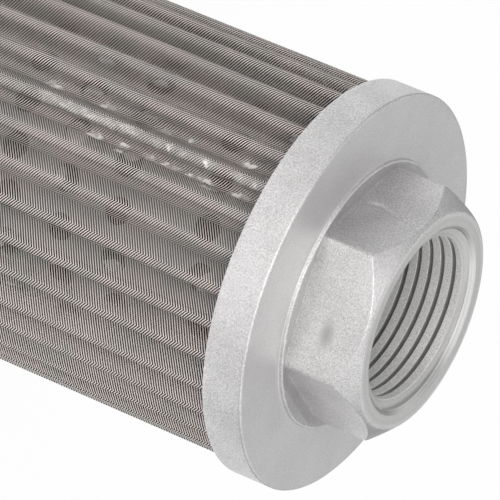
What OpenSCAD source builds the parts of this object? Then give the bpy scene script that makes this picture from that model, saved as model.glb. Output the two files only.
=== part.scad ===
// Hydraulic suction strainer. A pleated wire-cloth element stands round a
// perforated spiral-seam tube and is bonded with resin into two die-cast caps.
// It stands on its closed end: the origin is the centre of that end's face,
// and +Z runs up the axis and out of the threaded port.

/* [Overall] */
// Length from the closed end's face to the front of the hexagon
total_len = 140; // [110:1:240]
// Outside diameter of both end caps
cap_od = 73.5; // [71:0.5:84]

/* [End caps] */
// Height of each cap's rim
rim_h = 7.8; // [7:0.1:14]
// Wall of the skirt round the element
skirt_wall = 1.5; // [1:0.1:2.5]
// Thickness of the flange under the hexagon
flange_t = 3.5; // [2.5:0.1:4.5]
// Thickness of the closed end
floor_t = 3; // [2:0.1:4.5]
// Rounding of the caps' outer edges
edge_round = 0.6; // [0.2:0.1:1]
// Height of the ring that centres the tube in each cap
ring_h = 2.5; // [1:0.1:3.5]
// Wall of the centring ring
ring_wall = 1.8; // [1:0.1:4]
// Radial clearance between the centring ring and the tube
ring_clear = 0.2; // [0.1:0.05:0.5]

/* [Hexagon and port] */
// Width of the hexagon across its flats
hex_af = 41; // [40:0.5:46]
// Height of the hexagon above the flange's face
hex_h = 13.5; // [8:0.1:24]
// Turn of the hexagon about the axis
hex_turn = 13.2; // [0:0.1:60]
// Rounding of the hexagon's corners
hex_round = 1; // [0.3:0.1:2]
// Inset of the front face's edge from the flats
face_inset = 0.5; // [0.2:0.1:1]
// Height of the round pad under the hexagon
pad_h = 0.7; // [0.3:0.1:2]
// Width of the pad beyond the hexagon's corners
pad_edge = 1.2; // [0.5:0.1:4]
// Bore of the port, at the crests of its thread
port_d = 30.291; // [24:0.001:33]
// Width of the chamfer at the port's mouth
mouth_chamfer = 2.35; // [0.5:0.05:3]
// Width of the chamfer at the port's inner end
inner_chamfer = 0.8; // [0.2:0.1:2]

/* [Pleated cloth] */
// Number of pleats round the element
pleats = 34; // [26:1:40]
// Depth of the pleats, from their tips down to their roots
pleat_depth = 5.3; // [4:0.1:10]
// Thickness of the wire cloth
cloth_t = 0.4; // [0.2:0.05:0.6]
// Outside rounding of each pleat's tip
tip_r = 1.1; // [0.8:0.05:1.4]
// Outside rounding of each pleat's root
root_r = 1.1; // [0.6:0.05:1.4]
// Direction of the pleat that carries the side seam
seam_turn = -108.2; // [-180:0.1:180]
// Thickness of the resin bead along the side seam
seam_t = 0.35; // [0.2:0.05:1]
// Clearance between the pleat tips and the skirts
tip_clear = 0.25; // [0.1:0.05:1]
// Clearance between the pleat roots and the tube
root_clear = 0.3; // [0.1:0.05:1]

/* [Core tube] */
// Wall of the tube
tube_wall = 0.6; // [0.4:0.1:2]
// Width that one turn of the wound strip covers
strip_w = 38.9; // [36:0.1:60]
// Diameter of the holes
hole_d = 5; // [3:0.1:6]
// Spacing of the holes along the strip
hole_pitch = 8.5; // [7.5:0.1:14]
// Spacing of the rows of holes across the strip
row_pitch = 10.85; // [8:0.05:14]
// Rows of holes in the strip
hole_rows = 3; // [1:1:3]
// Height of the hole that the pattern starts from
hole_start = 69.1; // [40:0.1:90]
// Direction of the hole that the pattern starts from
hole_turn = -91.9; // [-180:0.1:180]
// Land between the resin and the nearest hole
hole_land = 1; // [0.5:0.1:5]

/* [Resin] */
// Depth of the resin's surface below each skirt's edge
resin_gap = 1; // [0.5:0.1:1.5]
// Resin between each cap and the end of the cloth
resin_base = 1; // [0.5:0.1:1.5]

/* [Hidden] */
$fn = 96;
// Straight steps in each rounded stretch of an outline
arc_steps = 5;
// Length by which a cutting tool runs past the solid
over = 1;
cast_aluminium = [0.78, 0.78, 0.77];
wire_cloth = [0.53, 0.51, 0.49];
zinc_sheet = [0.62, 0.63, 0.64];
clear_resin = [0.86, 0.84, 0.76];

// End caps, from the base upwards
cap_r = cap_od / 2;
skirt_r = cap_r - skirt_wall;
flange_z = total_len - hex_h;
ceiling_z = flange_z - flange_t;
upper_rim_z = flange_z - rim_h;

// Pleats between the skirts and the tube, and the rings that centre the tube
tip_edge = skirt_r - tip_clear;
root_edge = tip_edge - pleat_depth;
tube_r = root_edge - cloth_t - root_clear;
tube_in_r = tube_r - tube_wall;
ring_out_r = tube_in_r - ring_clear;
ring_in_r = ring_out_r - ring_wall;

// Hexagon, pad and port
port_r = port_d / 2;
face_r = hex_af / 2 - face_inset;
pad_r = hex_af / sqrt(3) + pad_edge;
hex_corner_c = (hex_af / 2 - hex_round) / cos(30);

// Circles at the pleats' tips and roots, joined by flanks that touch both
half_pitch = 180 / pleats;
tip_c = tip_edge - tip_r;
root_c = root_edge + root_r;
tip_to_root = [root_c * cos(half_pitch) - tip_c, root_c * sin(half_pitch)];
flank_turn = atan2(tip_to_root.y, tip_to_root.x) - acos((tip_r + root_r) / norm(tip_to_root));
cloth_low = floor_t + resin_base;
cloth_high = ceiling_z - resin_base;

// Wound strip: its slope on the tube, and the heights that holes may take
strip_slope = asin(strip_w / (2 * PI * tube_r));
hole_low = rim_h - resin_gap + hole_land + hole_d / 2;
hole_high = upper_rim_z + resin_gap - hole_land - hole_d / 2;
hole_rise = hole_pitch * sin(strip_slope);
first_hole = floor((hole_low - hole_start - hole_rows * row_pitch) / hole_rise);
last_hole = ceil((hole_high - hole_start) / hole_rise);

function polar(r, turn) = r * [cos(turn), sin(turn)];

function arc(c, r, from, to) =
    [for (i = [0:arc_steps]) c + polar(r, from + (to - from) * i / arc_steps)];

// One pleat from its tip to its next root, at the given roundings
function pleat(turn, at_tip, at_root) = concat(
    arc(polar(tip_c, turn), at_tip, turn - flank_turn, turn + flank_turn),
    arc(polar(root_c, turn + half_pitch), at_root,
        turn + 180 + flank_turn, turn + 180 + 2 * half_pitch - flank_turn)
);

function pleat_ring(at_tip, at_root) =
    [for (i = [0:pleats - 1]) each pleat(seam_turn + 2 * half_pitch * i, at_tip, at_root)];

module hex_outline() {
    polygon([
        for (k = [0:5])
            each arc(polar(hex_corner_c, hex_turn + 60 * k), hex_round,
                hex_turn + 60 * k - 30, hex_turn + 60 * k + 30)
    ]);
}

// Flange, skirt and centring ring as one turned profile
module flange() {
    rotate_extrude()
        polygon(concat(
            [[0, ceiling_z], [ring_in_r, ceiling_z]],
            [[ring_in_r, ceiling_z - ring_h], [ring_out_r, ceiling_z - ring_h]],
            [[ring_out_r, ceiling_z], [skirt_r, ceiling_z]],
            [[skirt_r, upper_rim_z], [cap_r, upper_rim_z]],
            arc([cap_r - edge_round, flange_z - edge_round], edge_round, 0, 90),
            [[0, flange_z]]
        ));
}

module pad() {
    pad_top = flange_z + pad_h;
    rotate_extrude()
        polygon(concat(
            [[0, ceiling_z + flange_t / 2], [pad_r, ceiling_z + flange_t / 2]],
            arc([pad_r - edge_round, pad_top - edge_round], edge_round, 0, 90),
            [[0, pad_top]]
        ));
}

// Hexagon with its front corners turned off at 45 degrees
module hexagon() {
    translate([0, 0, flange_z])
        intersection() {
            linear_extrude(hex_h) hex_outline();
            cylinder(h = hex_h, r1 = face_r + hex_h, r2 = face_r);
        }
}

module port() {
    mouth_w = mouth_chamfer + over;
    inner_w = inner_chamfer + over;
    translate([0, 0, ceiling_z - over])
        cylinder(h = total_len - ceiling_z + 2 * over, r = port_r);
    translate([0, 0, total_len - mouth_chamfer])
        cylinder(h = mouth_w, r1 = port_r, r2 = port_r + mouth_w);
    translate([0, 0, ceiling_z - over])
        cylinder(h = inner_w, r1 = port_r + inner_w, r2 = port_r);
}

module threaded_end_cap() {
    color(cast_aluminium)
        difference() {
            union() {
                flange();
                pad();
                hexagon();
            }
            port();
        }
}

module closed_end_cap() {
    color(cast_aluminium)
        rotate_extrude()
            polygon(concat(
                [[0, 0]],
                arc([cap_r - edge_round, edge_round], edge_round, -90, 0),
                [[cap_r, rim_h], [skirt_r, rim_h], [skirt_r, floor_t]],
                [[ring_out_r, floor_t], [ring_out_r, floor_t + ring_h]],
                [[ring_in_r, floor_t + ring_h], [ring_in_r, floor_t]],
                [[0, floor_t]]
            ));
}

// Holes in staggered rows that follow the wound strip up the tube
module strip_holes() {
    for (row = [0:hole_rows - 1], k = [first_hole:last_hole]) {
        along = (k + (row % 2) / 2) * hole_pitch;
        across = row * row_pitch;
        z = hole_start + along * sin(strip_slope) + across * cos(strip_slope);
        arc_len = along * cos(strip_slope) - across * sin(strip_slope);
        if (z >= hole_low && z <= hole_high)
            rotate(hole_turn + arc_len / tube_r * 180 / PI)
                translate([tube_in_r - over, 0, z])
                    rotate([0, 90, 0])
                        cylinder(h = tube_wall + 2 * over, d = hole_d, $fn = 24);
    }
}

module core_tube() {
    color(zinc_sheet)
        difference() {
            translate([0, 0, floor_t])
                cylinder(h = ceiling_z - floor_t, r = tube_r);
            translate([0, 0, floor_t - over])
                cylinder(h = ceiling_z - floor_t + 2 * over, r = tube_in_r);
            strip_holes();
        }
}

module cloth() {
    translate([0, 0, cloth_low])
        linear_extrude(cloth_high - cloth_low)
            difference() {
                polygon(pleat_ring(tip_r, root_r));
                polygon(pleat_ring(tip_r - cloth_t, root_r + cloth_t));
            }
}

module pleated_mesh() {
    color(wire_cloth) cloth();
}

// Bead that hugs the tip of the seam's pleat between the two rims
module seam_resin() {
    c = polar(tip_c, seam_turn);
    from = seam_turn - flank_turn;
    to = seam_turn + flank_turn;
    color(clear_resin)
        translate([0, 0, rim_h])
            linear_extrude(upper_rim_z - rim_h)
                polygon(concat(arc(c, tip_r, from, to), arc(c, tip_r + seam_t, to, from)));
}

// Resin that fills a cap between its skirt and the tube, round the cloth
module potting(low, high) {
    difference() {
        translate([0, 0, low])
            cylinder(h = high - low, r = skirt_r);
        translate([0, 0, low - over])
            cylinder(h = high - low + 2 * over, r = tube_r);
        cloth();
    }
}

module upper_potting() {
    color(clear_resin) potting(upper_rim_z + resin_gap, ceiling_z);
}

module lower_potting() {
    color(clear_resin) potting(floor_t, rim_h - resin_gap);
}

threaded_end_cap();
closed_end_cap();
core_tube();
pleated_mesh();
seam_resin();
upper_potting();
lower_potting();
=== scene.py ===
import math
import random

import bmesh
import bpy
from mathutils import Euler, Matrix, Vector, noise


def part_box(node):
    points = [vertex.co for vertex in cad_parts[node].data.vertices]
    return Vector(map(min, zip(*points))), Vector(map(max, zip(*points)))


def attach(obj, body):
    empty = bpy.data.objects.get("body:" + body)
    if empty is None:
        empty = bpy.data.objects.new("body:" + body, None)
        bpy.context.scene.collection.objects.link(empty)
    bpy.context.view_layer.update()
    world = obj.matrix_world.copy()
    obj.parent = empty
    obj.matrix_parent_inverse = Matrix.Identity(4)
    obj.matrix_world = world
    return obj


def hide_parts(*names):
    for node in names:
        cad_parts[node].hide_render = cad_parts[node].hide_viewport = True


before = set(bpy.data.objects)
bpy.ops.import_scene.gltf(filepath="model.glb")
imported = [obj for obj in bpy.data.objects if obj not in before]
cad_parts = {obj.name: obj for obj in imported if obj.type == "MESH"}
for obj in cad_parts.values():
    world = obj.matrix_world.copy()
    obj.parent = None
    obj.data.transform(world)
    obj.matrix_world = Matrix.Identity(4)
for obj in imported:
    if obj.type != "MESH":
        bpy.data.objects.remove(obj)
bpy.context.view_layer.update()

mm = 0.001                                        # the frame is in metres, the drawing in millimetres
roundingShare = 0.45                              # a rounding takes at most this much of an edge
random.seed(34)
print("frame loaded:", ", ".join(sorted(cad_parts)))


# Small helpers

def linearColour(hexText):                        # sRGB hex to the linear colour that shaders take
    channels = [int(hexText[i:i + 2], 16) / 255 for i in (1, 3, 5)]
    return [c / 12.92 if c <= 0.04045 else ((c + 0.055) / 1.055) ** 2.4 for c in channels] + [1.0]


def addNode(tree, kind, settings, feeds):         # feeds hold a socket to link, or a plain value
    node = tree.nodes.new("ShaderNode" + kind)
    for name, value in settings.items():
        setattr(node, name, value)
    for name, value in feeds.items():
        if isinstance(value, bpy.types.NodeSocket):
            tree.links.new(value, node.inputs[name])
        else:
            node.inputs[name].default_value = value
    return node


def startMaterial(name):
    material = bpy.data.materials.new(name)
    material.use_nodes = True
    material.node_tree.nodes.clear()
    return material, material.node_tree


def polar(radius, degrees):
    return Vector((radius * math.cos(math.radians(degrees)), radius * math.sin(math.radians(degrees))))


def softSection(corners, steps):                  # corners: (r, z, rounding, rows on the way to the next)
    points = []
    count = len(corners)
    for i in range(count):
        here = Vector(corners[i][:2])
        back = Vector(corners[i - 1][:2]) - here
        ahead = Vector(corners[(i + 1) % count][:2]) - here
        soft = corners[i][2]
        start = here + back.normalized() * min(soft, back.length * roundingShare)
        end = here + ahead.normalized() * min(soft, ahead.length * roundingShare)
        if soft == 0:
            points.append(here)
        else:
            for k in range(steps + 1):
                t = k / steps
                points.append(start * (1 - t) ** 2 + here * 2 * t * (1 - t) + end * t ** 2)
        following = corners[(i + 1) % count]
        nextHere = Vector(following[:2])
        stop = nextHere - ahead.normalized() * min(following[2], ahead.length * roundingShare)
        rows = corners[i][3]
        for k in range(1, rows + 1):
            points.append(end.lerp(stop, k / (rows + 1)))
    return points


def loftRings(name, rings, closeEnds):            # a ring of edges, extruded from section to section
    bpy.ops.object.select_all(action="DESELECT")
    bpy.ops.mesh.primitive_circle_add(vertices=len(rings[0]), radius=0.01, fill_type="NOTHING")
    piece = bpy.context.object
    piece.name = name
    piece.data.name = name
    bpy.ops.object.mode_set(mode="EDIT")
    bpy.ops.mesh.select_mode(type="VERT")
    mesh = bmesh.from_edit_mesh(piece.data)
    mesh.verts.layers.int.new("place")
    mesh.verts.layers.int.new("row")
    place = mesh.verts.layers.int["place"]
    for k, vertex in enumerate(mesh.verts):
        vertex[place] = k
    bmesh.update_edit_mesh(piece.data)
    bpy.ops.mesh.select_all(action="SELECT")
    for number, ring in enumerate(rings):
        if number == 1 and closeEnds:
            bpy.ops.mesh.edge_face_add()          # flat end on the first section
            mesh = bmesh.from_edit_mesh(piece.data)
            for face in mesh.faces:
                face.select_set(False)
            for edge in mesh.edges:
                edge.select_set(True)
            bpy.ops.mesh.extrude_edges_move()
        elif number > 0:
            bpy.ops.mesh.extrude_region_move()
        mesh = bmesh.from_edit_mesh(piece.data)
        place = mesh.verts.layers.int["place"]
        row = mesh.verts.layers.int["row"]
        for vertex in mesh.verts:
            if vertex.select:
                vertex.co = ring[vertex[place]] * mm
                vertex[row] = number
        bmesh.update_edit_mesh(piece.data)
    if closeEnds:
        bpy.ops.mesh.edge_face_add()              # and on the last
    bpy.ops.mesh.select_all(action="SELECT")
    bpy.ops.mesh.remove_doubles(threshold=1e-7)
    bpy.ops.mesh.normals_make_consistent(inside=False)
    bpy.ops.mesh.select_all(action="DESELECT")
    bpy.ops.object.mode_set(mode="OBJECT")
    return piece


def dress(piece, node, materials):      # rides with the body, stands for its node, takes its finish
    for material in materials:
        piece.data.materials.append(material)
    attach(piece, "root")
    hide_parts(node)


# Materials

castLook = {
    "pale": "#F1F0F0", "dark": "#C6C5C5", "gritMm": 0.28, "gritHeightMm": 0.05, "cloudMm": 9.0,
    "speckFrom": 0.32, "speckTo": 0.68, "cloudShare": 0.18, "roughFrom": 0.46, "roughTo": 0.62, "metal": 1.0,
    "scuff": "#BAB9B9", "scuffAtMm": (8.5, -19.1, 132.7), "scuffStretch": (0.45, 1.0, 1.0), "scuffMm": 2.1,
}
satinLook = dict(castLook, pale="#DEDDDD", dark="#CCCBCB", gritHeightMm=0.015)
chamferLook = dict(castLook, pale="#E0DFDF", dark="#BAB9B9", gritHeightMm=0.035)
# painted shade: a darker copy of the cast finish for the boss's foot
footShadeLook = dict(castLook, pale="#CCCBCB", dark="#B2B1B1", gritHeightMm=0.015)


def castAluminium(name, look):                    # die cast and shot blasted: pale, dull, speckled metal
    material, tree = startMaterial(name)
    coords = addNode(tree, "TexCoord", {}, {}).outputs["Object"]
    grit = addNode(tree, "TexNoise", {}, {
        "Vector": coords, "Scale": 1 / (look["gritMm"] * mm), "Detail": 3.0, "Roughness": 0.6}).outputs["Fac"]
    cloud = addNode(tree, "TexNoise", {}, {
        "Vector": coords, "Scale": 1 / (look["cloudMm"] * mm),
        "Detail": 4.0, "Roughness": 0.55}).outputs["Fac"]
    speck = addNode(tree, "MapRange", {}, {
        "Value": grit, "From Min": look["speckFrom"], "From Max": look["speckTo"],
        "To Min": 0.0, "To Max": 1.0}).outputs[0]
    drift = addNode(tree, "MapRange", {}, {
        "Value": cloud, "From Min": 0.3, "From Max": 0.7,
        "To Min": -look["cloudShare"], "To Max": look["cloudShare"]}).outputs[0]
    blend = addNode(tree, "Math", {"operation": "ADD", "use_clamp": True}, {0: speck, 1: drift}).outputs[0]
    middle = Vector(look["scuffAtMm"]) * mm * Vector(look["scuffStretch"])  # a grey rub on one flat
    spread = addNode(tree, "VectorMath", {"operation": "MULTIPLY"}, {
        0: coords, 1: look["scuffStretch"]}).outputs[0]
    reach = addNode(tree, "VectorMath", {"operation": "DISTANCE"}, {0: spread, 1: middle}).outputs["Value"]
    scuff = addNode(tree, "MapRange", {"interpolation_type": "SMOOTHSTEP"}, {
        "Value": reach, "From Min": 0.0, "From Max": look["scuffMm"] * mm,
        "To Min": 0.0, "To Max": 1.0}).outputs[0]
    clean = addNode(tree, "Mix", {"data_type": "RGBA"}, {
        0: blend, 6: linearColour(look["dark"]), 7: linearColour(look["pale"])}).outputs[2]
    colour = addNode(tree, "Mix", {"data_type": "RGBA"}, {
        0: scuff, 6: linearColour(look["scuff"]), 7: clean}).outputs[2]
    rough = addNode(tree, "MapRange", {}, {
        "Value": grit, "From Min": 0.3, "From Max": 0.7,
        "To Min": look["roughTo"], "To Max": look["roughFrom"]})
    bump = addNode(tree, "Bump", {}, {
        "Strength": 0.7, "Distance": look["gritHeightMm"] * mm, "Height": grit}).outputs[0]
    metal = addNode(tree, "BsdfPrincipled", {}, {
        "Base Color": colour, "Metallic": look["metal"], "Roughness": rough.outputs[0], "Normal": bump})
    addNode(tree, "OutputMaterial", {}, {"Surface": metal.outputs[0]})
    return material


turnedLook = {
    "pale": "#DEDEDD", "dark": "#C0C0BF", "lineMm": 0.28, "lineHeightMm": 0.012, "gritMm": 0.30,
    "roughFrom": 0.30, "roughTo": 0.50,
}


def turnedAluminium(name, look):                  # faced on a lathe: fine rings that catch the light
    material, tree = startMaterial(name)
    coords = addNode(tree, "TexCoord", {}, {}).outputs["Object"]
    flat = addNode(tree, "VectorMath", {"operation": "MULTIPLY"}, {0: coords, 1: (1.0, 1.0, 0.0)}).outputs[0]
    radius = addNode(tree, "VectorMath", {"operation": "LENGTH"}, {0: flat}).outputs["Value"]
    lines = addNode(tree, "TexNoise", {"noise_dimensions": "1D"}, {
        "W": radius, "Scale": 1 / (look["lineMm"] * mm), "Detail": 2.0, "Roughness": 0.6}).outputs["Fac"]
    grit = addNode(tree, "TexNoise", {}, {
        "Vector": coords, "Scale": 1 / (look["gritMm"] * mm), "Detail": 2.0}).outputs["Fac"]
    height = addNode(tree, "Math", {"operation": "MULTIPLY_ADD"}, {0: grit, 1: 0.5, 2: lines}).outputs[0]
    tone = addNode(tree, "MapRange", {}, {
        "Value": height, "From Min": 0.5, "From Max": 1.0, "To Min": 0.0, "To Max": 1.0}).outputs[0]
    colour = addNode(tree, "Mix", {"data_type": "RGBA"}, {
        0: tone, 6: linearColour(look["dark"]), 7: linearColour(look["pale"])}).outputs[2]
    rough = addNode(tree, "MapRange", {}, {
        "Value": lines, "From Min": 0.3, "From Max": 0.7,
        "To Min": look["roughFrom"], "To Max": look["roughTo"]})
    bump = addNode(tree, "Bump", {}, {
        "Strength": 0.6, "Distance": look["lineHeightMm"] * mm, "Height": height}).outputs[0]
    metal = addNode(tree, "BsdfPrincipled", {}, {
        "Base Color": colour, "Metallic": 1.0, "Roughness": rough.outputs[0], "Normal": bump})
    addNode(tree, "OutputMaterial", {}, {"Surface": metal.outputs[0]})
    return material


clothLook = {
    "acrossMm": 0.352, "alongMm": 0.264, "wireHalf": 0.16, "wireSoft": 0.06, "mainShare": 0.94,
    "edge": 0.2, "level": 0.3, "gapCover": 0.19, "wireCover": 0.42, "heightMm": 0.05,
    # glint lines take the pale steel and the rest the near-black dark: painted highlight and painted shade
    "pale": "#E8DFDB", "cool": "#DCDAD5", "dark": "#1C1A19", "tintMm": 8.0,
    "stain": "#8F7E77", "stainMm": 16.0, "stainShare": 0.12, "metal": 0.12, "rough": 0.5, "specular": 0.2,
}


def weaveSteps(tree, place, look):                # counts wires away from the fold and along it
    steps = addNode(tree, "VectorMath", {"operation": "DIVIDE"}, {
        0: place, 1: (look["acrossMm"], look["alongMm"], 1.0)}).outputs[0]
    return addNode(tree, "SeparateXYZ", {}, {0: steps}).outputs


def weaveGlint(tree, steps, look):                # painted highlight: the wires' knuckle glints line up in diagonals on each flank, drawn strong because single wires are finer than a pixel
    glints = []                                   # drawn strong because single wires are finer than a pixel
    for way, share in (("ADD", look["mainShare"]), ("SUBTRACT", 1 - look["mainShare"])):
        lean = addNode(tree, "Math", {"operation": way}, {0: steps[1], 1: steps[0]}).outputs[0]
        turn = addNode(tree, "Math", {"operation": "MULTIPLY"}, {0: lean, 1: math.pi}).outputs[0]
        wave = addNode(tree, "Math", {"operation": "COSINE"}, {0: turn}).outputs[0]
        glints.append(addNode(tree, "Math", {"operation": "MULTIPLY"}, {0: wave, 1: share}).outputs[0])
    both = addNode(tree, "Math", {"operation": "ADD"}, {0: glints[0], 1: glints[1]}).outputs[0]
    return addNode(tree, "MapRange", {"interpolation_type": "SMOOTHSTEP"}, {
        "Value": both, "From Min": look["level"] - look["edge"], "From Max": look["level"] + look["edge"],
        "To Min": 0.0, "To Max": 1.0}).outputs[0]


def wovenWireCloth(name, look):                   # plain weave, 72 by 96 stainless wires an inch: silky
    material, tree = startMaterial(name)
    steps = weaveSteps(tree, addNode(tree, "UVMap", {"uv_map": "weave"}, {}).outputs[0], look)
    wires = []
    for axis in (steps[0], steps[1]):
        near = addNode(tree, "Math", {"operation": "PINGPONG"}, {0: axis, 1: 0.5}).outputs[0]
        wires.append(addNode(tree, "MapRange", {"interpolation_type": "SMOOTHSTEP"}, {
            "Value": near, "From Min": look["wireHalf"] - look["wireSoft"],
            "From Max": look["wireHalf"] + look["wireSoft"], "To Min": 1.0, "To Max": 0.0}).outputs[0])
    glint = weaveGlint(tree, steps, look)
    net = addNode(tree, "Math", {"operation": "MAXIMUM"}, {0: wires[0], 1: wires[1]}).outputs[0]
    veil = addNode(tree, "MapRange", {}, {
        "Value": net, "From Min": 0.0, "From Max": 1.0,
        "To Min": look["gapCover"], "To Max": look["wireCover"]}).outputs[0]
    cover = addNode(tree, "Math", {"operation": "MAXIMUM"}, {0: veil, 1: glint}).outputs[0]
    coords = addNode(tree, "TexCoord", {}, {}).outputs["Object"]
    cloud = addNode(tree, "TexNoise", {}, {
        "Vector": coords, "Scale": 1 / (look["stainMm"] * mm), "Detail": 3.0}).outputs["Fac"]
    share = addNode(tree, "MapRange", {}, {
        "Value": cloud, "From Min": 0.4, "From Max": 0.7,
        "To Min": 0.0, "To Max": look["stainShare"]}).outputs[0]
    drift = addNode(tree, "TexNoise", {}, {
        "Vector": coords, "Scale": 1 / (look["tintMm"] * mm), "Detail": 2.0}).outputs["Fac"]
    cooler = addNode(tree, "MapRange", {}, {      # oil and handling tint the steel in patches
        "Value": drift, "From Min": 0.45, "From Max": 0.65, "To Min": 0.0, "To Max": 1.0}).outputs[0]
    steel = addNode(tree, "Mix", {"data_type": "RGBA"}, {
        0: cooler, 6: linearColour(look["pale"]), 7: linearColour(look["cool"])}).outputs[2]
    # painted highlight and painted shade: pale steel on the glint diagonals, near black between them
    wire = addNode(tree, "Mix", {"data_type": "RGBA"}, {
        0: glint, 6: linearColour(look["dark"]), 7: steel}).outputs[2]
    colour = addNode(tree, "Mix", {"data_type": "RGBA"}, {
        0: share, 6: wire, 7: linearColour(look["stain"])}).outputs[2]
    bump = addNode(tree, "Bump", {}, {
        "Strength": 0.4, "Distance": look["heightMm"] * mm, "Height": glint}).outputs[0]
    metal = addNode(tree, "BsdfPrincipled", {}, {
        "Base Color": colour, "Metallic": look["metal"], "Roughness": look["rough"],
        "Specular IOR Level": look["specular"], "Normal": bump, "Alpha": cover})
    addNode(tree, "OutputMaterial", {}, {"Surface": metal.outputs[0]})
    return material


zincLook = {
    # inside: painted shade, the tube's hollow coloured near black
    "pale": "#CED0D1", "dark": "#B6B8B9", "inside": "#303132", "wallMm": 28.7, "wallSoftMm": 0.1,
    "spangleMm": 5.0, "grainMm": 0.4, "grainHeightMm": 0.02, "roughFrom": 0.45, "roughTo": 0.6,
}


def galvanisedSheet(name, look):                  # hot-dip zinc on steel strip: soft spangle in two greys
    material, tree = startMaterial(name)
    coords = addNode(tree, "TexCoord", {}, {}).outputs["Object"]
    cells = addNode(tree, "TexVoronoi", {}, {"Vector": coords, "Scale": 1 / (look["spangleMm"] * mm)})
    tone = addNode(tree, "SeparateColor", {}, {0: cells.outputs["Color"]}).outputs[0]
    grain = addNode(tree, "TexNoise", {}, {
        "Vector": coords, "Scale": 1 / (look["grainMm"] * mm), "Detail": 3.0}).outputs["Fac"]
    bright = addNode(tree, "Mix", {"data_type": "RGBA"}, {
        0: tone, 6: linearColour(look["dark"]), 7: linearColour(look["pale"])}).outputs[2]
    flat = addNode(tree, "VectorMath", {"operation": "MULTIPLY"}, {0: coords, 1: (1.0, 1.0, 0.0)}).outputs[0]
    radius = addNode(tree, "VectorMath", {"operation": "LENGTH"}, {0: flat}).outputs["Value"]
    outer = addNode(tree, "MapRange", {}, {
        "Value": radius, "From Min": (look["wallMm"] - look["wallSoftMm"]) * mm,
        "From Max": (look["wallMm"] + look["wallSoftMm"]) * mm, "To Min": 0.0, "To Max": 1.0}).outputs[0]
    colour = addNode(tree, "Mix", {"data_type": "RGBA"}, {     # painted shade: the inside of the tube is coloured near black
        0: outer, 6: linearColour(look["inside"]), 7: bright}).outputs[2]
    rough = addNode(tree, "MapRange", {}, {
        "Value": tone, "From Min": 0.0, "From Max": 1.0,
        "To Min": look["roughFrom"], "To Max": look["roughTo"]})
    bump = addNode(tree, "Bump", {}, {
        "Strength": 0.3, "Distance": look["grainHeightMm"] * mm, "Height": grain}).outputs[0]
    metal = addNode(tree, "BsdfPrincipled", {}, {
        "Base Color": colour, "Metallic": 1.0, "Roughness": rough.outputs[0], "Normal": bump})
    addNode(tree, "OutputMaterial", {}, {"Surface": metal.outputs[0]})
    return material


resinLook = {
    "potting": {"pale": "#D8D2C2", "dark": "#B9B19D", "mottleMm": 3.0, "rough": 0.3},
    "smear": {
        "pale": "#F6F4F0", "dark": "#DDDAD4", "mottleMm": 1.6, "rough": 0.25,
        "patchFrom": 0.5, "patchTo": 1.3, "wetFrom": 0.35, "barePower": 5.0},
}


def castResin(name, look, hazy):                  # poured epoxy: milky and glossy, clearer where it is thin
    material, tree = startMaterial(name)
    coords = addNode(tree, "TexCoord", {}, {}).outputs["Object"]
    mottle = addNode(tree, "TexNoise", {}, {
        "Vector": coords, "Scale": 1 / (look["mottleMm"] * mm),
        "Detail": 3.0, "Roughness": 0.6}).outputs["Fac"]
    colour = addNode(tree, "Mix", {"data_type": "RGBA"}, {
        0: mottle, 6: linearColour(look["dark"]), 7: linearColour(look["pale"])}).outputs[2]
    bump = addNode(tree, "Bump", {}, {"Strength": 0.4, "Distance": 0.1 * mm, "Height": mottle}).outputs[0]
    body = addNode(tree, "BsdfPrincipled", {}, {
        "Base Color": colour, "Roughness": look["rough"], "IOR": 1.52, "Normal": bump})
    if hazy:                                      # the piece's own attribute says how thick the smear is
        onCloth = addNode(tree, "Attribute", {"attribute_name": "onCloth"}, {}).outputs["Vector"]
        haze = addNode(tree, "SeparateXYZ", {}, {0: onCloth}).outputs[2]
        patch = addNode(tree, "MapRange", {}, {
            "Value": mottle, "From Min": 0.35, "From Max": 0.65,
            "To Min": look["patchFrom"], "To Max": look["patchTo"]}).outputs[0]
        milk = addNode(tree, "Math", {"operation": "MULTIPLY", "use_clamp": True}, {
            0: haze, 1: patch}).outputs[0]
        glint = weaveGlint(tree, weaveSteps(tree, onCloth, clothLook), clothLook)
        wet = addNode(tree, "MapRange", {}, {
            "Value": glint, "From Min": 0.0, "From Max": 1.0,
            "To Min": look["wetFrom"], "To Max": 1.0}).outputs[0]
        bare = addNode(tree, "Math", {"operation": "POWER"}, {0: milk, 1: look["barePower"]}).outputs[0]
        thin = addNode(tree, "Math", {"operation": "MULTIPLY"}, {0: milk, 1: wet}).outputs[0]
        cover = addNode(tree, "Math", {"operation": "MAXIMUM"}, {0: thin, 1: bare}).outputs[0]
        tree.links.new(cover, body.inputs["Alpha"])
    addNode(tree, "OutputMaterial", {}, {"Surface": body.outputs[0]})
    return material


blasted = castAluminium("castAluminiumBlasted", castLook)
satin = castAluminium("castAluminiumSatin", satinLook)
chamfer = castAluminium("castAluminiumChamfer", chamferLook)
paintedFootShade = castAluminium("castAluminiumPaintedShade", footShadeLook)      # painted shade: the boss's foot is coloured duller and darker
turned = turnedAluminium("castAluminiumTurned", turnedLook)
tapped = turnedAluminium("castAluminiumTapped", dict(turnedLook, roughFrom=0.45, roughTo=0.65))
crest = castAluminium("castAluminiumDull", dict(
    castLook, pale="#FAFAF9", dark="#D4D4D3", roughFrom=0.6, roughTo=0.85, metal=0.6))
cloth = wovenWireCloth("stainlessWireCloth", clothLook)
zinc = galvanisedSheet("galvanisedSheet", zincLook)
potting = castResin("epoxyPotting", resinLook["potting"], False)
smear = castResin("epoxySmear", resinLook["smear"], True)
print("materials made:", len(bpy.data.materials))


# Threaded end cap: flange, rim, hexagon boss and the turned mouth

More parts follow.
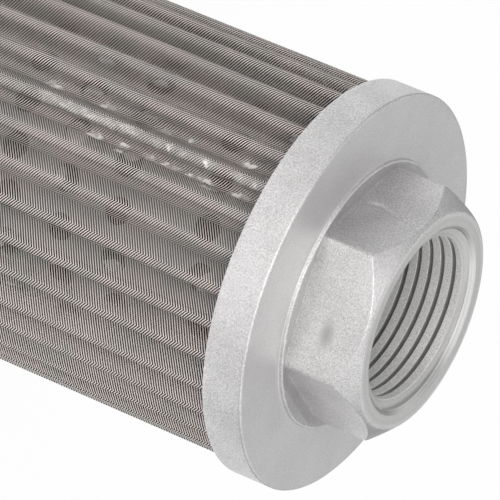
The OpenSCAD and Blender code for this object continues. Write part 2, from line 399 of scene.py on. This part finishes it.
capLow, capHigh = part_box("threaded_end_cap")
capForm = {
    "around": 480, "roundSteps": 5,
    "rimRadius": capHigh.x / mm, "top": capHigh.z / mm, "rimEdge": capLow.z / mm,
    "ceiling": 123.0, "flange": 126.5, "skirt": 35.25, "ringOut": 28.2, "ringIn": 26.4, "ringDepth": 2.5,
    "boreFoot": 17.0, "boreLift": 0.35, "boreWall": 16.65, "mouth": 17.5, "mouthDrop": 0.85, "face": 20.0,
    "acrossFlats": 41.0, "hexTurn": 13.2, "cornerPower": 90, "turnedTo": 19.2,
    "padRadius": 24.87, "padHeight": 0.7, "reliefWide": 2.4, "reliefSlope": 0.28,
    "unevenMm": 0.04, "unevenSizeMm": 5.0, "faceShare": 0.6, "facing": 0.8,
    "dents": [                                    # flat's direction, across, height, half sizes, depth
        (-136.8, 2.2, 130.0, 3.0, 2.4, 0.22)],
    "scratch": {
        "side": -136.8, "points": [(128.0, 0.0), (130.3, -0.9), (133.9, 0.4)], "width": 0.35, "depth": 0.28},
}


def hexRadius(angle):                             # a hexagon with soft corners, by its six flats
    power = capForm["cornerPower"]
    sides = [math.cos(angle - math.radians(capForm["hexTurn"] + 30 + 60 * side)) for side in range(6)]
    return capForm["acrossFlats"] / 2 / sum(max(0.0, side) ** power for side in sides) ** (1 / power)


def capCorners(angle):
    f = capForm
    hexEdge = hexRadius(angle)
    padTop = f["flange"] + f["padHeight"]
    reliefEnd = min(hexEdge + f["reliefWide"], f["padRadius"] - 0.5)
    reliefFoot = padTop - (reliefEnd - hexEdge) * f["reliefSlope"]
    return [
        (f["boreFoot"], f["ceiling"], 0, 1), (f["boreWall"], f["ceiling"] + f["boreLift"], 0.1, 4),
        (f["boreWall"], f["top"] - f["mouthDrop"], 0.05, 3), (f["mouth"], f["top"], 0.12, 6),
        (f["face"], f["top"], 0.4, 3), (hexEdge, f["top"] - (hexEdge - f["face"]), 0.15, 26),
        (hexEdge, reliefFoot, 0.05, 3), (reliefEnd, padTop, 0.3, 1), (f["padRadius"], padTop, 0.3, 1),
        (f["padRadius"], f["flange"], 0.3, 14), (f["rimRadius"], f["flange"], 0.5, 7),
        (f["rimRadius"], f["rimEdge"], 0.3, 1), (f["skirt"], f["rimEdge"], 0.25, 3),
        (f["skirt"], f["ceiling"], 0, 2), (f["ringOut"], f["ceiling"], 0, 2),
        (f["ringOut"], f["ceiling"] - f["ringDepth"], 0.1, 1),
        (f["ringIn"], f["ceiling"] - f["ringDepth"], 0.1, 2), (f["ringIn"], f["ceiling"], 0, 3)]


def scratchDepth(across, height):
    mark = capForm["scratch"]
    depth = 0.0
    for (z0, a0), (z1, a1) in zip(mark["points"], mark["points"][1:]):
        along = Vector((z1 - z0, a1 - a0))
        reach = Vector((height - z0, across - a0))
        t = max(0.0, min(1.0, reach.dot(along) / along.length_squared))
        gap = (reach - along * t).length
        depth = max(depth, mark["depth"] * math.exp(-(gap / mark["width"]) ** 2))
    return depth


def dentDepth(angle, radius, height):
    depth = 0.0
    for side, across, middle, halfAcross, halfHigh, deep in capForm["dents"]:
        turn = angle - math.radians(side)
        if math.cos(turn) > capForm["facing"]:
            a = (radius * math.sin(turn) - across) / halfAcross
            b = (height - middle) / halfHigh
            depth += deep * math.exp(-(a * a + b * b))
    turn = angle - math.radians(capForm["scratch"]["side"])
    if math.cos(turn) > capForm["facing"]:
        depth += scratchDepth(radius * math.sin(turn), height)
    return depth


def capRings():
    f = capForm
    columns = []
    for k in range(f["around"]):
        angle = 2 * math.pi * k / f["around"]
        column = []
        for radius, height in softSection(capCorners(angle), f["roundSteps"]):
            point = Vector((radius * math.cos(angle), radius * math.sin(angle), height))
            outside = radius > f["face"] + 0.2 and height > f["rimEdge"] + 0.2
            if outside:                           # the casting's slight unevenness, and its marks
                wave = noise.noise(point / f["unevenSizeMm"]) * f["unevenMm"]
                onFlat = f["flange"] + 1.5 < height < f["top"] - 1.0 and radius < f["padRadius"]
                dent = dentDepth(angle, radius, height) if onFlat else 0.0
                onFace = abs(height - f["flange"]) < 0.05
                if onFace:
                    point.z += wave * f["faceShare"]
                else:
                    point.xy *= 1 + (wave - dent) / radius
            column.append(point)
        columns.append(column)
    rings = [list(ring) for ring in zip(*columns)]
    return rings + [rings[0]]


capFinishes = [blasted, turned, satin, paintedFootShade, chamfer]
cap = loftRings("threadedCap", capRings(), False)
dress(cap, "threaded_end_cap", capFinishes)
for face in cap.data.polygons:
    reach = face.center.xy.length / mm
    level = face.center.z / mm
    finish = blasted
    if reach < capForm["turnedTo"] and level > capForm["ceiling"] + 0.1:
        finish = turned                           # the cutter reached only the mouth
    elif 0.4 < face.normal.z < 0.9 and level > capForm["top"] - 4.5 and reach > capForm["face"]:
        finish = chamfer                          # the cone that takes off the corners
    elif face.normal.z > 0.7 and reach < capForm["padRadius"] - 0.4 and level < capForm["flange"] + 1.0:
        finish = paintedFootShade                           # the pad and trough round the boss's foot, darkened as painted shade
    elif abs(level - capForm["flange"]) < 0.2 and reach < capForm["rimRadius"] - 0.4:
        finish = satin                            # the flange's face
    face.material_index = capFinishes.index(finish)
bpy.ops.object.shade_smooth_by_angle(angle=math.radians(40))
print("threaded cap:", len(cap.data.polygons), "faces")


# Pipe thread in the mouth, a ridge wound on the bore

threadForm = {
    "pitch": 2.309, "base": 16.8, "crest": 15.16, "halfBase": 1.12, "halfCrest": 0.7, "softMm": 0.06,
    "turns": 9, "steps": 96, "from": capForm["ceiling"] + capForm["boreLift"], "to": capForm["top"],
    "sleeveIn": 14.6, "sleeveOut": 17.1, "sleeveAround": 192,
    "mouthDepth": 1.3, "inDrop": 0.55, "outDrop": 0.45,
}


def woundThread():
    f = threadForm
    bpy.ops.object.select_all(action="DESELECT")
    bpy.ops.mesh.primitive_circle_add(vertices=8, radius=0.001, fill_type="NOTHING")
    ridge = bpy.context.object
    ridge.name = "portThread"
    ridge.data.name = "portThread"
    low = f["from"] - 2 * f["pitch"]
    mid = (f["base"] + f["crest"]) / 2
    halfMid = (f["halfBase"] + f["halfCrest"]) / 2
    outline = [
        (f["base"], -f["halfBase"]), (mid, -halfMid),
        (f["crest"] + f["softMm"], -f["halfCrest"] - f["softMm"]), (f["crest"], -f["halfCrest"]),
        (f["crest"], f["halfCrest"]), (f["crest"] + f["softMm"], f["halfCrest"] + f["softMm"]),
        (mid, halfMid), (f["base"], f["halfBase"])]
    for vertex, (radius, height) in zip(ridge.data.vertices, outline):
        vertex.co = Vector((radius, 0, low + height)) * mm
    winding = ridge.modifiers.new("winding", "SCREW")
    winding.axis = "Z"
    winding.angle = 2 * math.pi
    winding.screw_offset = f["pitch"] * mm
    winding.iterations = f["turns"]
    winding.steps = f["steps"]
    winding.render_steps = f["steps"]
    bpy.ops.object.modifier_apply(modifier="winding")
    bpy.ops.object.mode_set(mode="EDIT")
    bpy.ops.mesh.select_all(action="SELECT")
    bpy.ops.mesh.fill_holes(sides=0)
    bpy.ops.mesh.normals_make_consistent(inside=False)
    bpy.ops.object.mode_set(mode="OBJECT")
    return ridge


def threadSleeve():                               # where the ridge may be: below the mouth's cone
    f = threadForm
    section = [
        (f["sleeveIn"], f["from"]), (f["sleeveOut"], f["from"]), (f["sleeveOut"], f["to"] - f["outDrop"]),
        (f["sleeveIn"], f["to"] - f["mouthDepth"] - f["inDrop"])]
    turns = [2 * math.pi * k / f["sleeveAround"] for k in range(f["sleeveAround"])]
    rings = []
    for radius, height in section + section[:1]:
        rings.append([Vector((radius * math.cos(t), radius * math.sin(t), height)) for t in turns])
    return loftRings("threadSleeve", rings, False)


thread = woundThread()
sleeve = threadSleeve()
bpy.ops.object.select_all(action="DESELECT")
thread.select_set(True)
bpy.context.view_layer.objects.active = thread
trim = thread.modifiers.new("trim", "BOOLEAN")
trim.operation = "INTERSECT"
trim.solver = "EXACT"
trim.object = sleeve
bpy.ops.object.modifier_apply(modifier="trim")
bpy.data.objects.remove(sleeve)
dress(thread, "threaded_end_cap", [tapped, crest])
for face in thread.data.polygons:                 # blasting dulled the crests and left the grooves bright
    face.material_index = 1 if face.center.xy.length / mm < threadForm["crest"] + 0.05 else 0
bpy.ops.object.shade_smooth_by_angle(angle=math.radians(35))
print("port thread:", len(thread.data.polygons), "faces")


# Pleated wire cloth

clothLow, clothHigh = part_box("pleated_mesh")
clothForm = {
    "pleats": 34, "tipCentre": 33.9, "rootCentre": 30.8, "tipBend": 1.1, "rootBend": 1.1, "rootTurn": 2.9,
    "seamTurn": -108.2, "arcSteps": 10, "foldStep": 2, "rows": 28,
    "low": clothLow.z / mm, "high": clothHigh.z / mm,
    "wallMm": 0.02, "leanDeg": 0.35, "swayDeg": 0.25, "swayMm": 90.0,
}
halfPitch = 180 / clothForm["pleats"]
pleatLean = [random.uniform(-1, 1) * clothForm["leanDeg"] for i in range(clothForm["pleats"])]
pleatSway = [random.uniform(0, 2 * math.pi) for i in range(clothForm["pleats"])]


def pleatTurn(pleat, height):                     # each pleat leans and wavers a little, as folded cloth does
    own = pleat % clothForm["pleats"]
    waver = math.sin(2 * math.pi * height / clothForm["swayMm"] + pleatSway[own]) * clothForm["swayDeg"]
    return clothForm["seamTurn"] + 2 * halfPitch * pleat + pleatLean[own] + waver


def bendAngles(pleat, height):                    # where the tip's bend starts and ends; the pleats lean
    f = clothForm
    turn = pleatTurn(pleat, height)
    tip = polar(f["tipCentre"], turn)
    angles = []
    for root, side in ((pleat - 1, 1), (pleat, -1)):
        across = polar(f["rootCentre"], pleatTurn(root, height) + f["rootTurn"]) - tip
        heading = (math.degrees(math.atan2(across.y, across.x)) - turn + 540) % 360 - 180
        touch = math.degrees(math.acos((f["tipBend"] + f["rootBend"]) / across.length))
        angles.append(turn + heading + side * touch)
    return angles


def clothOutline(height):
    f = clothForm
    points = []
    for pleat in range(f["pleats"]):
        turn = pleatTurn(pleat, height)
        start, end = bendAngles(pleat, height)
        nextStart = bendAngles(pleat + 1, height)[0]
        steps = [k / f["arcSteps"] for k in range(f["arcSteps"] + 1)]
        tip = polar(f["tipCentre"], turn)
        root = polar(f["rootCentre"], turn + f["rootTurn"])
        points += [tip + polar(f["tipBend"], start + (end - start) * t) for t in steps]
        points += [root + polar(f["rootBend"], end + 180 + (nextStart - end) * t) for t in steps]
    return points


def outlineLengths():                             # developed length of the cloth, from the seam's fold
    outline = clothOutline(0)
    lengths = [0.0]
    for here, ahead in zip(outline, outline[1:] + outline[:1]):
        lengths.append(lengths[-1] + (ahead - here).length)
    start = lengths[clothForm["foldStep"]]
    return [length - start for length in lengths]


def foldDistance(segment, length):                # from the fold before it, or past a root from the next one
    perPleat = 2 * (clothForm["arcSteps"] + 1)
    pleat, step = divmod(segment, perPleat)
    beyond = 1 if step == perPleat - 1 else 0
    total = lengths[-1] - lengths[0]
    laps, own = divmod(pleat + beyond, clothForm["pleats"])
    return abs(length - lengths[own * perPleat + clothForm["foldStep"]] - laps * total)


lengths = outlineLengths()
rows = [clothForm["low"] + (clothForm["high"] - clothForm["low"]) * k / clothForm["rows"]
        for k in range(clothForm["rows"] + 1)]
clothRings = [[point.to_3d() + Vector((0, 0, z)) for point in clothOutline(z)] for z in rows]
pleated = loftRings("pleatedCloth", clothRings, False)
mesh = bmesh.new()
mesh.from_mesh(pleated.data)
weaveMap = mesh.loops.layers.uv.new("weave")      # millimetres of cloth away from the fold and up the axis
place = mesh.verts.layers.int["place"]
for face in mesh.faces:
    columns = sorted({corner.vert[place] for corner in face.loops})
    wraps = columns[1] - columns[0] > 1
    segment = columns[1] if wraps else columns[0]
    for corner in face.loops:
        column = corner.vert[place]
        length = lengths[-1] if wraps and column == 0 else lengths[column]
        corner[weaveMap].uv = (foldDistance(segment, length), corner.vert.co.z / mm)
outward = sum(face.normal.xy.dot(face.calc_center_median().xy) for face in mesh.faces)
if outward < 0:
    bmesh.ops.reverse_faces(mesh, faces=mesh.faces)
mesh.to_mesh(pleated.data)
mesh.free()
wall = pleated.modifiers.new("wall", "SOLIDIFY")
wall.thickness = clothForm["wallMm"] * mm
wall.offset = -1
bpy.ops.object.modifier_apply(modifier="wall")
dress(pleated, "pleated_mesh", [cloth])
bpy.ops.object.shade_smooth_by_angle(angle=math.radians(50))
print("pleated cloth:", len(pleated.data.polygons), "faces")


# Resin along the seam: a thin film on its fold, and drops beside it

seamLow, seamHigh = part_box("seam_resin")
resinForm = {
    "low": seamLow.z / mm, "high": seamHigh.z / mm, "rows": 110, "acrossSteps": 11,
    "middle": 1.1, "halfWide": 1.4, "thickMm": 0.12, "leastMm": 0.02, "sinkMm": 0.03, "filmHaze": 0.16,
    "dropAround": 24, "dropWave": 0.8,
    "dropProfile": [                              # share of a drop's reach, share of its thickness
        (0.1, -1), (0.7, -1), (1.0, 0.05), (0.85, 0.5), (0.6, 0.85), (0.3, 1.0), (0.08, 1.0)],
    "drops": [                                    # across, height, half width, half length, thickness, haze
        (0.9, 74.0, 1.2, 4.0, 0.12, 0.5), (1.2, 78.5, 1.3, 3.4, 0.12, 0.65),
        (1.4, 82.6, 1.2, 3.0, 0.12, 0.65), (1.3, 86.0, 1.1, 2.2, 0.12, 0.75),
        (0.6, 90.5, 1.1, 2.8, 0.12, 0.7), (1.2, 96.1, 0.9, 1.4, 0.14, 0.55),
        (1.0, 98.9, 1.0, 1.3, 0.14, 0.76), (1.1, 101.2, 0.9, 1.2, 0.14, 0.6),
        (1.1, 106.7, 1.1, 1.6, 0.16, 0.8), (1.2, 113.2, 1.1, 1.8, 0.12, 0.65),
        (1.4, 115.8, 0.8, 1.2, 0.14, 0.75), (-6.0, 70.4, 1.6, 1.8, 0.16, 1.1),
        (-6.1, 81.7, 1.6, 1.8, 0.16, 1.1), (-6.1, 94.0, 0.8, 1.9, 0.16, 0.8),
        (-6.2, 110.5, 1.6, 1.8, 0.16, 1.1), (-6.6, 98.9, 0.9, 0.9, 0.16, 0.8),
        (7.7, 82.7, 1.5, 1.8, 0.18, 1.1), (9.8, 88.7, 1.1, 1.2, 0.2, 1.1),
        (7.2, 88.0, 0.9, 1.4, 0.2, 1.1), (7.5, 94.0, 0.8, 2.0, 0.18, 1.0),
        (7.4, 98.2, 0.8, 2.2, 0.18, 1.0), (7.5, 102.1, 0.7, 1.3, 0.18, 1.0),
        (7.2, 105.1, 0.9, 2.2, 0.2, 1.1), (9.7, 107.1, 1.0, 2.2, 0.2, 1.1),
        (7.7, 112.1, 1.1, 1.4, 0.2, 1.1), (7.3, 113.5, 0.8, 1.0, 0.2, 1.1),
        (-2.4, 116.8, 0.9, 0.6, 0.2, 1.1)],
}


def clothAt(across, height):                      # the point on the cloth, and which way it faces
    outline = clothOutline(height)
    total = lengths[-1] - lengths[0]
    developed = (across - lengths[0]) % total + lengths[0]
    spot = max(k for k in range(len(outline)) if lengths[k] <= developed)
    here = outline[spot]
    ahead = outline[(spot + 1) % len(outline)]
    t = (developed - lengths[spot]) / (lengths[spot + 1] - lengths[spot])
    along = (ahead - here).normalized()
    return here.lerp(ahead, t), Vector((along.y, -along.x)), foldDistance(spot, developed)


def smearPiece(name, rings, notes):               # lofted; its points hold their place on the cloth and haze
    piece = loftRings(name, rings, True)
    places = [spot.value for spot in piece.data.attributes["place"].data]
    levels = [spot.value for spot in piece.data.attributes["row"].data]
    onCloth = piece.data.attributes.new("onCloth", "FLOAT_VECTOR", "POINT")
    for spot, place, level in zip(onCloth.data, places, levels):
        spot.vector = notes[level][place]
    return piece


def filmPiece():
    f = resinForm
    rings = []
    notes = []
    for row in range(f["rows"] + 1):
        height = f["low"] + (f["high"] - f["low"]) * row / f["rows"]
        spread = f["halfWide"] * (0.85 + 0.4 * noise.noise(Vector((3, 7, height / 4))))
        patchy = f["filmHaze"] * (1 + 0.8 * noise.noise(Vector((5, 2, height / 6))))
        outer = []
        inner = []
        over = []
        under = []
        for k in range(f["acrossSteps"]):
            share = 2 * k / (f["acrossSteps"] - 1) - 1
            point, normal, away = clothAt(f["middle"] + spread * share, height)
            crown = 1 - share * share
            thick = f["thickMm"] * crown * (0.7 + 0.4 * noise.noise(Vector((share, 1, height / 2))))
            outer.append((point + normal * max(f["leastMm"], thick)).to_3d() + Vector((0, 0, height)))
            inner.append((point - normal * f["sinkMm"]).to_3d() + Vector((0, 0, height)))
            over.append((away, height, patchy * crown))
            under.append((away, height, 0.0))
        rings.append(outer + inner[::-1])
        notes.append(over + under[::-1])
    return smearPiece("seamResin", rings, notes)


def dropPiece(across, height, wide, long, thick, haze):
    f = resinForm
    rings = []
    notes = []
    for reach, lift in f["dropProfile"]:
        ring = []
        note = []
        for k in range(f["dropAround"]):
            turn = 2 * math.pi * k / f["dropAround"]
            wave = noise.noise(Vector((1.5 * math.cos(turn), 1.5 * math.sin(turn), height)))
            ragged = 1 + f["dropWave"] * wave
            level = height + long * reach * ragged * math.sin(turn)
            point, normal, away = clothAt(across + wide * reach * ragged * math.cos(turn), level)
            offset = thick * lift if lift > 0 else -f["sinkMm"]
            ring.append((point + normal * offset).to_3d() + Vector((0, 0, level)))
            note.append((away, level, haze * lift if lift > 0.1 else 0.0))
        rings.append(ring)
        notes.append(note)
    return smearPiece("drop", rings, notes)


resin = filmPiece()
drops = [dropPiece(*drop) for drop in resinForm["drops"]]
bpy.ops.object.select_all(action="DESELECT")
for drop in drops + [resin]:
    drop.select_set(True)
bpy.context.view_layer.objects.active = resin
bpy.ops.object.join()
dress(resin, "seam_resin", [smear])
bpy.ops.object.shade_smooth_by_angle(angle=math.radians(60))
print("seam resin:", len(resin.data.polygons), "faces")


# Kept solids

keptFinish = {
    "closed_end_cap": blasted, "core_tube": zinc, "upper_potting": potting, "lower_potting": potting,
}
for nodeName, finish in keptFinish.items():
    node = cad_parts[nodeName]
    node.data.materials.clear()
    node.data.materials.append(finish)
print("kept solids dressed:", ", ".join(keptFinish))


# Camera, as the photograph was taken

cameraForm = {
    "lens": 434.06, "sensor": 36.0, "clipEnd": 20.0,
    "place": (0.000178, -0.955106, 0.54504), "elevation": 24.757, "roll": 112.712,
}
cameraData = bpy.data.cameras.new("photoCamera")
cameraData.lens = cameraForm["lens"]
cameraData.sensor_width = cameraForm["sensor"]
cameraData.clip_end = cameraForm["clipEnd"]
camera = bpy.data.objects.new("photoCamera", cameraData)
bpy.context.scene.collection.objects.link(camera)
tilt = Euler((math.radians(90 - cameraForm["elevation"]), 0, 0)).to_matrix().to_4x4()
turn = Matrix.Rotation(math.radians(cameraForm["roll"]), 4, "Z")
camera.matrix_world = Matrix.Translation(cameraForm["place"]) @ tilt @ turn
bpy.context.scene.camera = camera


# Floor, lamps and surroundings

stageForm = {
    "floorSize": 12.0, "floorDropMm": 0.1, "near": "#FFFFFF", "far": "#868686",
    "fadeFrom": 0.45, "fadeTo": 1.2, "shadowShare": 0.12,
    "horizon": "#5A5A5A", "low": "#F8F8F8", "high": "#9C9C9C",
    "climbFrom": 0.1, "climbTo": 0.45, "riseFrom": 0.45, "riseTo": 0.95, "aim": (0.0, 0.0, 0.08),
}


def paleFloor(name):                              # matt studio floor: white round the part, a faint shadow
    material, tree = startMaterial(name)
    coords = addNode(tree, "TexCoord", {}, {}).outputs["Object"]
    reach = addNode(tree, "VectorMath", {"operation": "LENGTH"}, {0: coords}).outputs["Value"]
    fade = addNode(tree, "MapRange", {"interpolation_type": "SMOOTHSTEP"}, {
        "Value": reach, "From Min": stageForm["fadeFrom"], "From Max": stageForm["fadeTo"],
        "To Min": 0.0, "To Max": 1.0}).outputs[0]
    colour = addNode(tree, "Mix", {"data_type": "RGBA"}, {
        0: fade, 6: linearColour(stageForm["near"]), 7: linearColour(stageForm["far"])}).outputs[2]
    rays = addNode(tree, "LightPath", {}, {}).outputs
    seen = addNode(tree, "Math", {"operation": "MAXIMUM"}, {
        0: rays["Is Camera Ray"], 1: rays["Is Glossy Ray"]}).outputs[0]
    shown = addNode(tree, "Math", {"operation": "MAXIMUM"}, {
        0: seen, 1: rays["Is Transmission Ray"]}).outputs[0]
    paint = addNode(tree, "BsdfDiffuse", {}, {"Color": colour}).outputs[0]
    glow = addNode(tree, "Emission", {}, {"Color": colour, "Strength": 1.0}).outputs[0]
    share = addNode(tree, "Math", {"operation": "MULTIPLY"}, {
        0: shown, 1: 1 - stageForm["shadowShare"]}).outputs[0]
    mixed = addNode(tree, "MixShader", {}, {0: share, 1: paint, 2: glow}).outputs[0]
    addNode(tree, "OutputMaterial", {}, {"Surface": mixed})
    return material


bpy.ops.object.select_all(action="DESELECT")
bpy.ops.mesh.primitive_plane_add(size=stageForm["floorSize"], location=(0, 0, -stageForm["floorDropMm"] * mm))
floor = bpy.context.object
floor.name = "studioFloor"
floor.data.materials.append(paleFloor("paintedFloor"))

world = bpy.data.worlds.new("studio")
bpy.context.scene.world = world
world.use_nodes = True
world.node_tree.nodes.clear()
up = addNode(world.node_tree, "SeparateXYZ", {}, {
    0: addNode(world.node_tree, "TexCoord", {}, {}).outputs["Generated"]}).outputs[2]
climb = addNode(world.node_tree, "MapRange", {"interpolation_type": "SMOOTHSTEP"}, {
    "Value": up, "From Min": stageForm["climbFrom"], "From Max": stageForm["climbTo"],
    "To Min": 0.0, "To Max": 1.0}).outputs[0]
lowSky = addNode(world.node_tree, "Mix", {"data_type": "RGBA"}, {
    0: climb, 6: linearColour(stageForm["horizon"]), 7: linearColour(stageForm["low"])}).outputs[2]
rise = addNode(world.node_tree, "MapRange", {"interpolation_type": "SMOOTHSTEP"}, {
    "Value": up, "From Min": stageForm["riseFrom"], "From Max": stageForm["riseTo"],
    "To Min": 0.0, "To Max": 1.0}).outputs[0]
shade = addNode(world.node_tree, "Mix", {"data_type": "RGBA"}, {
    0: rise, 6: lowSky, 7: linearColour(stageForm["high"])}).outputs[2]
sky = addNode(world.node_tree, "Background", {}, {"Color": shade, "Strength": 1.0}).outputs[0]
addNode(world.node_tree, "OutputWorld", {}, {"Surface": sky})

lamps = {
    "keyLamp": {"place": (0.0, -2.6, 1.1), "size": 3.4, "watts": 51.0, "tint": (1.0, 0.965, 0.965)},
    "topLamp": {"place": (0.5, -0.2, 1.5), "size": 2.6, "watts": 10.5, "tint": (1.0, 1.0, 1.0)},
}
for lampName, lampForm in lamps.items():
    lampData = bpy.data.lights.new(lampName, "AREA")
    lampData.shape = "DISK"
    lampData.size = lampForm["size"]
    lampData.energy = lampForm["watts"]
    lampData.color = lampForm["tint"]
    lamp = bpy.data.objects.new(lampName, lampData)
    bpy.context.scene.collection.objects.link(lamp)
    lamp.location = lampForm["place"]
    aim = Vector(stageForm["aim"]) - lamp.location
    lamp.rotation_euler = aim.to_track_quat("-Z", "Y").to_euler()

bpy.context.scene.view_settings.view_transform = "Standard"
print("stage set")
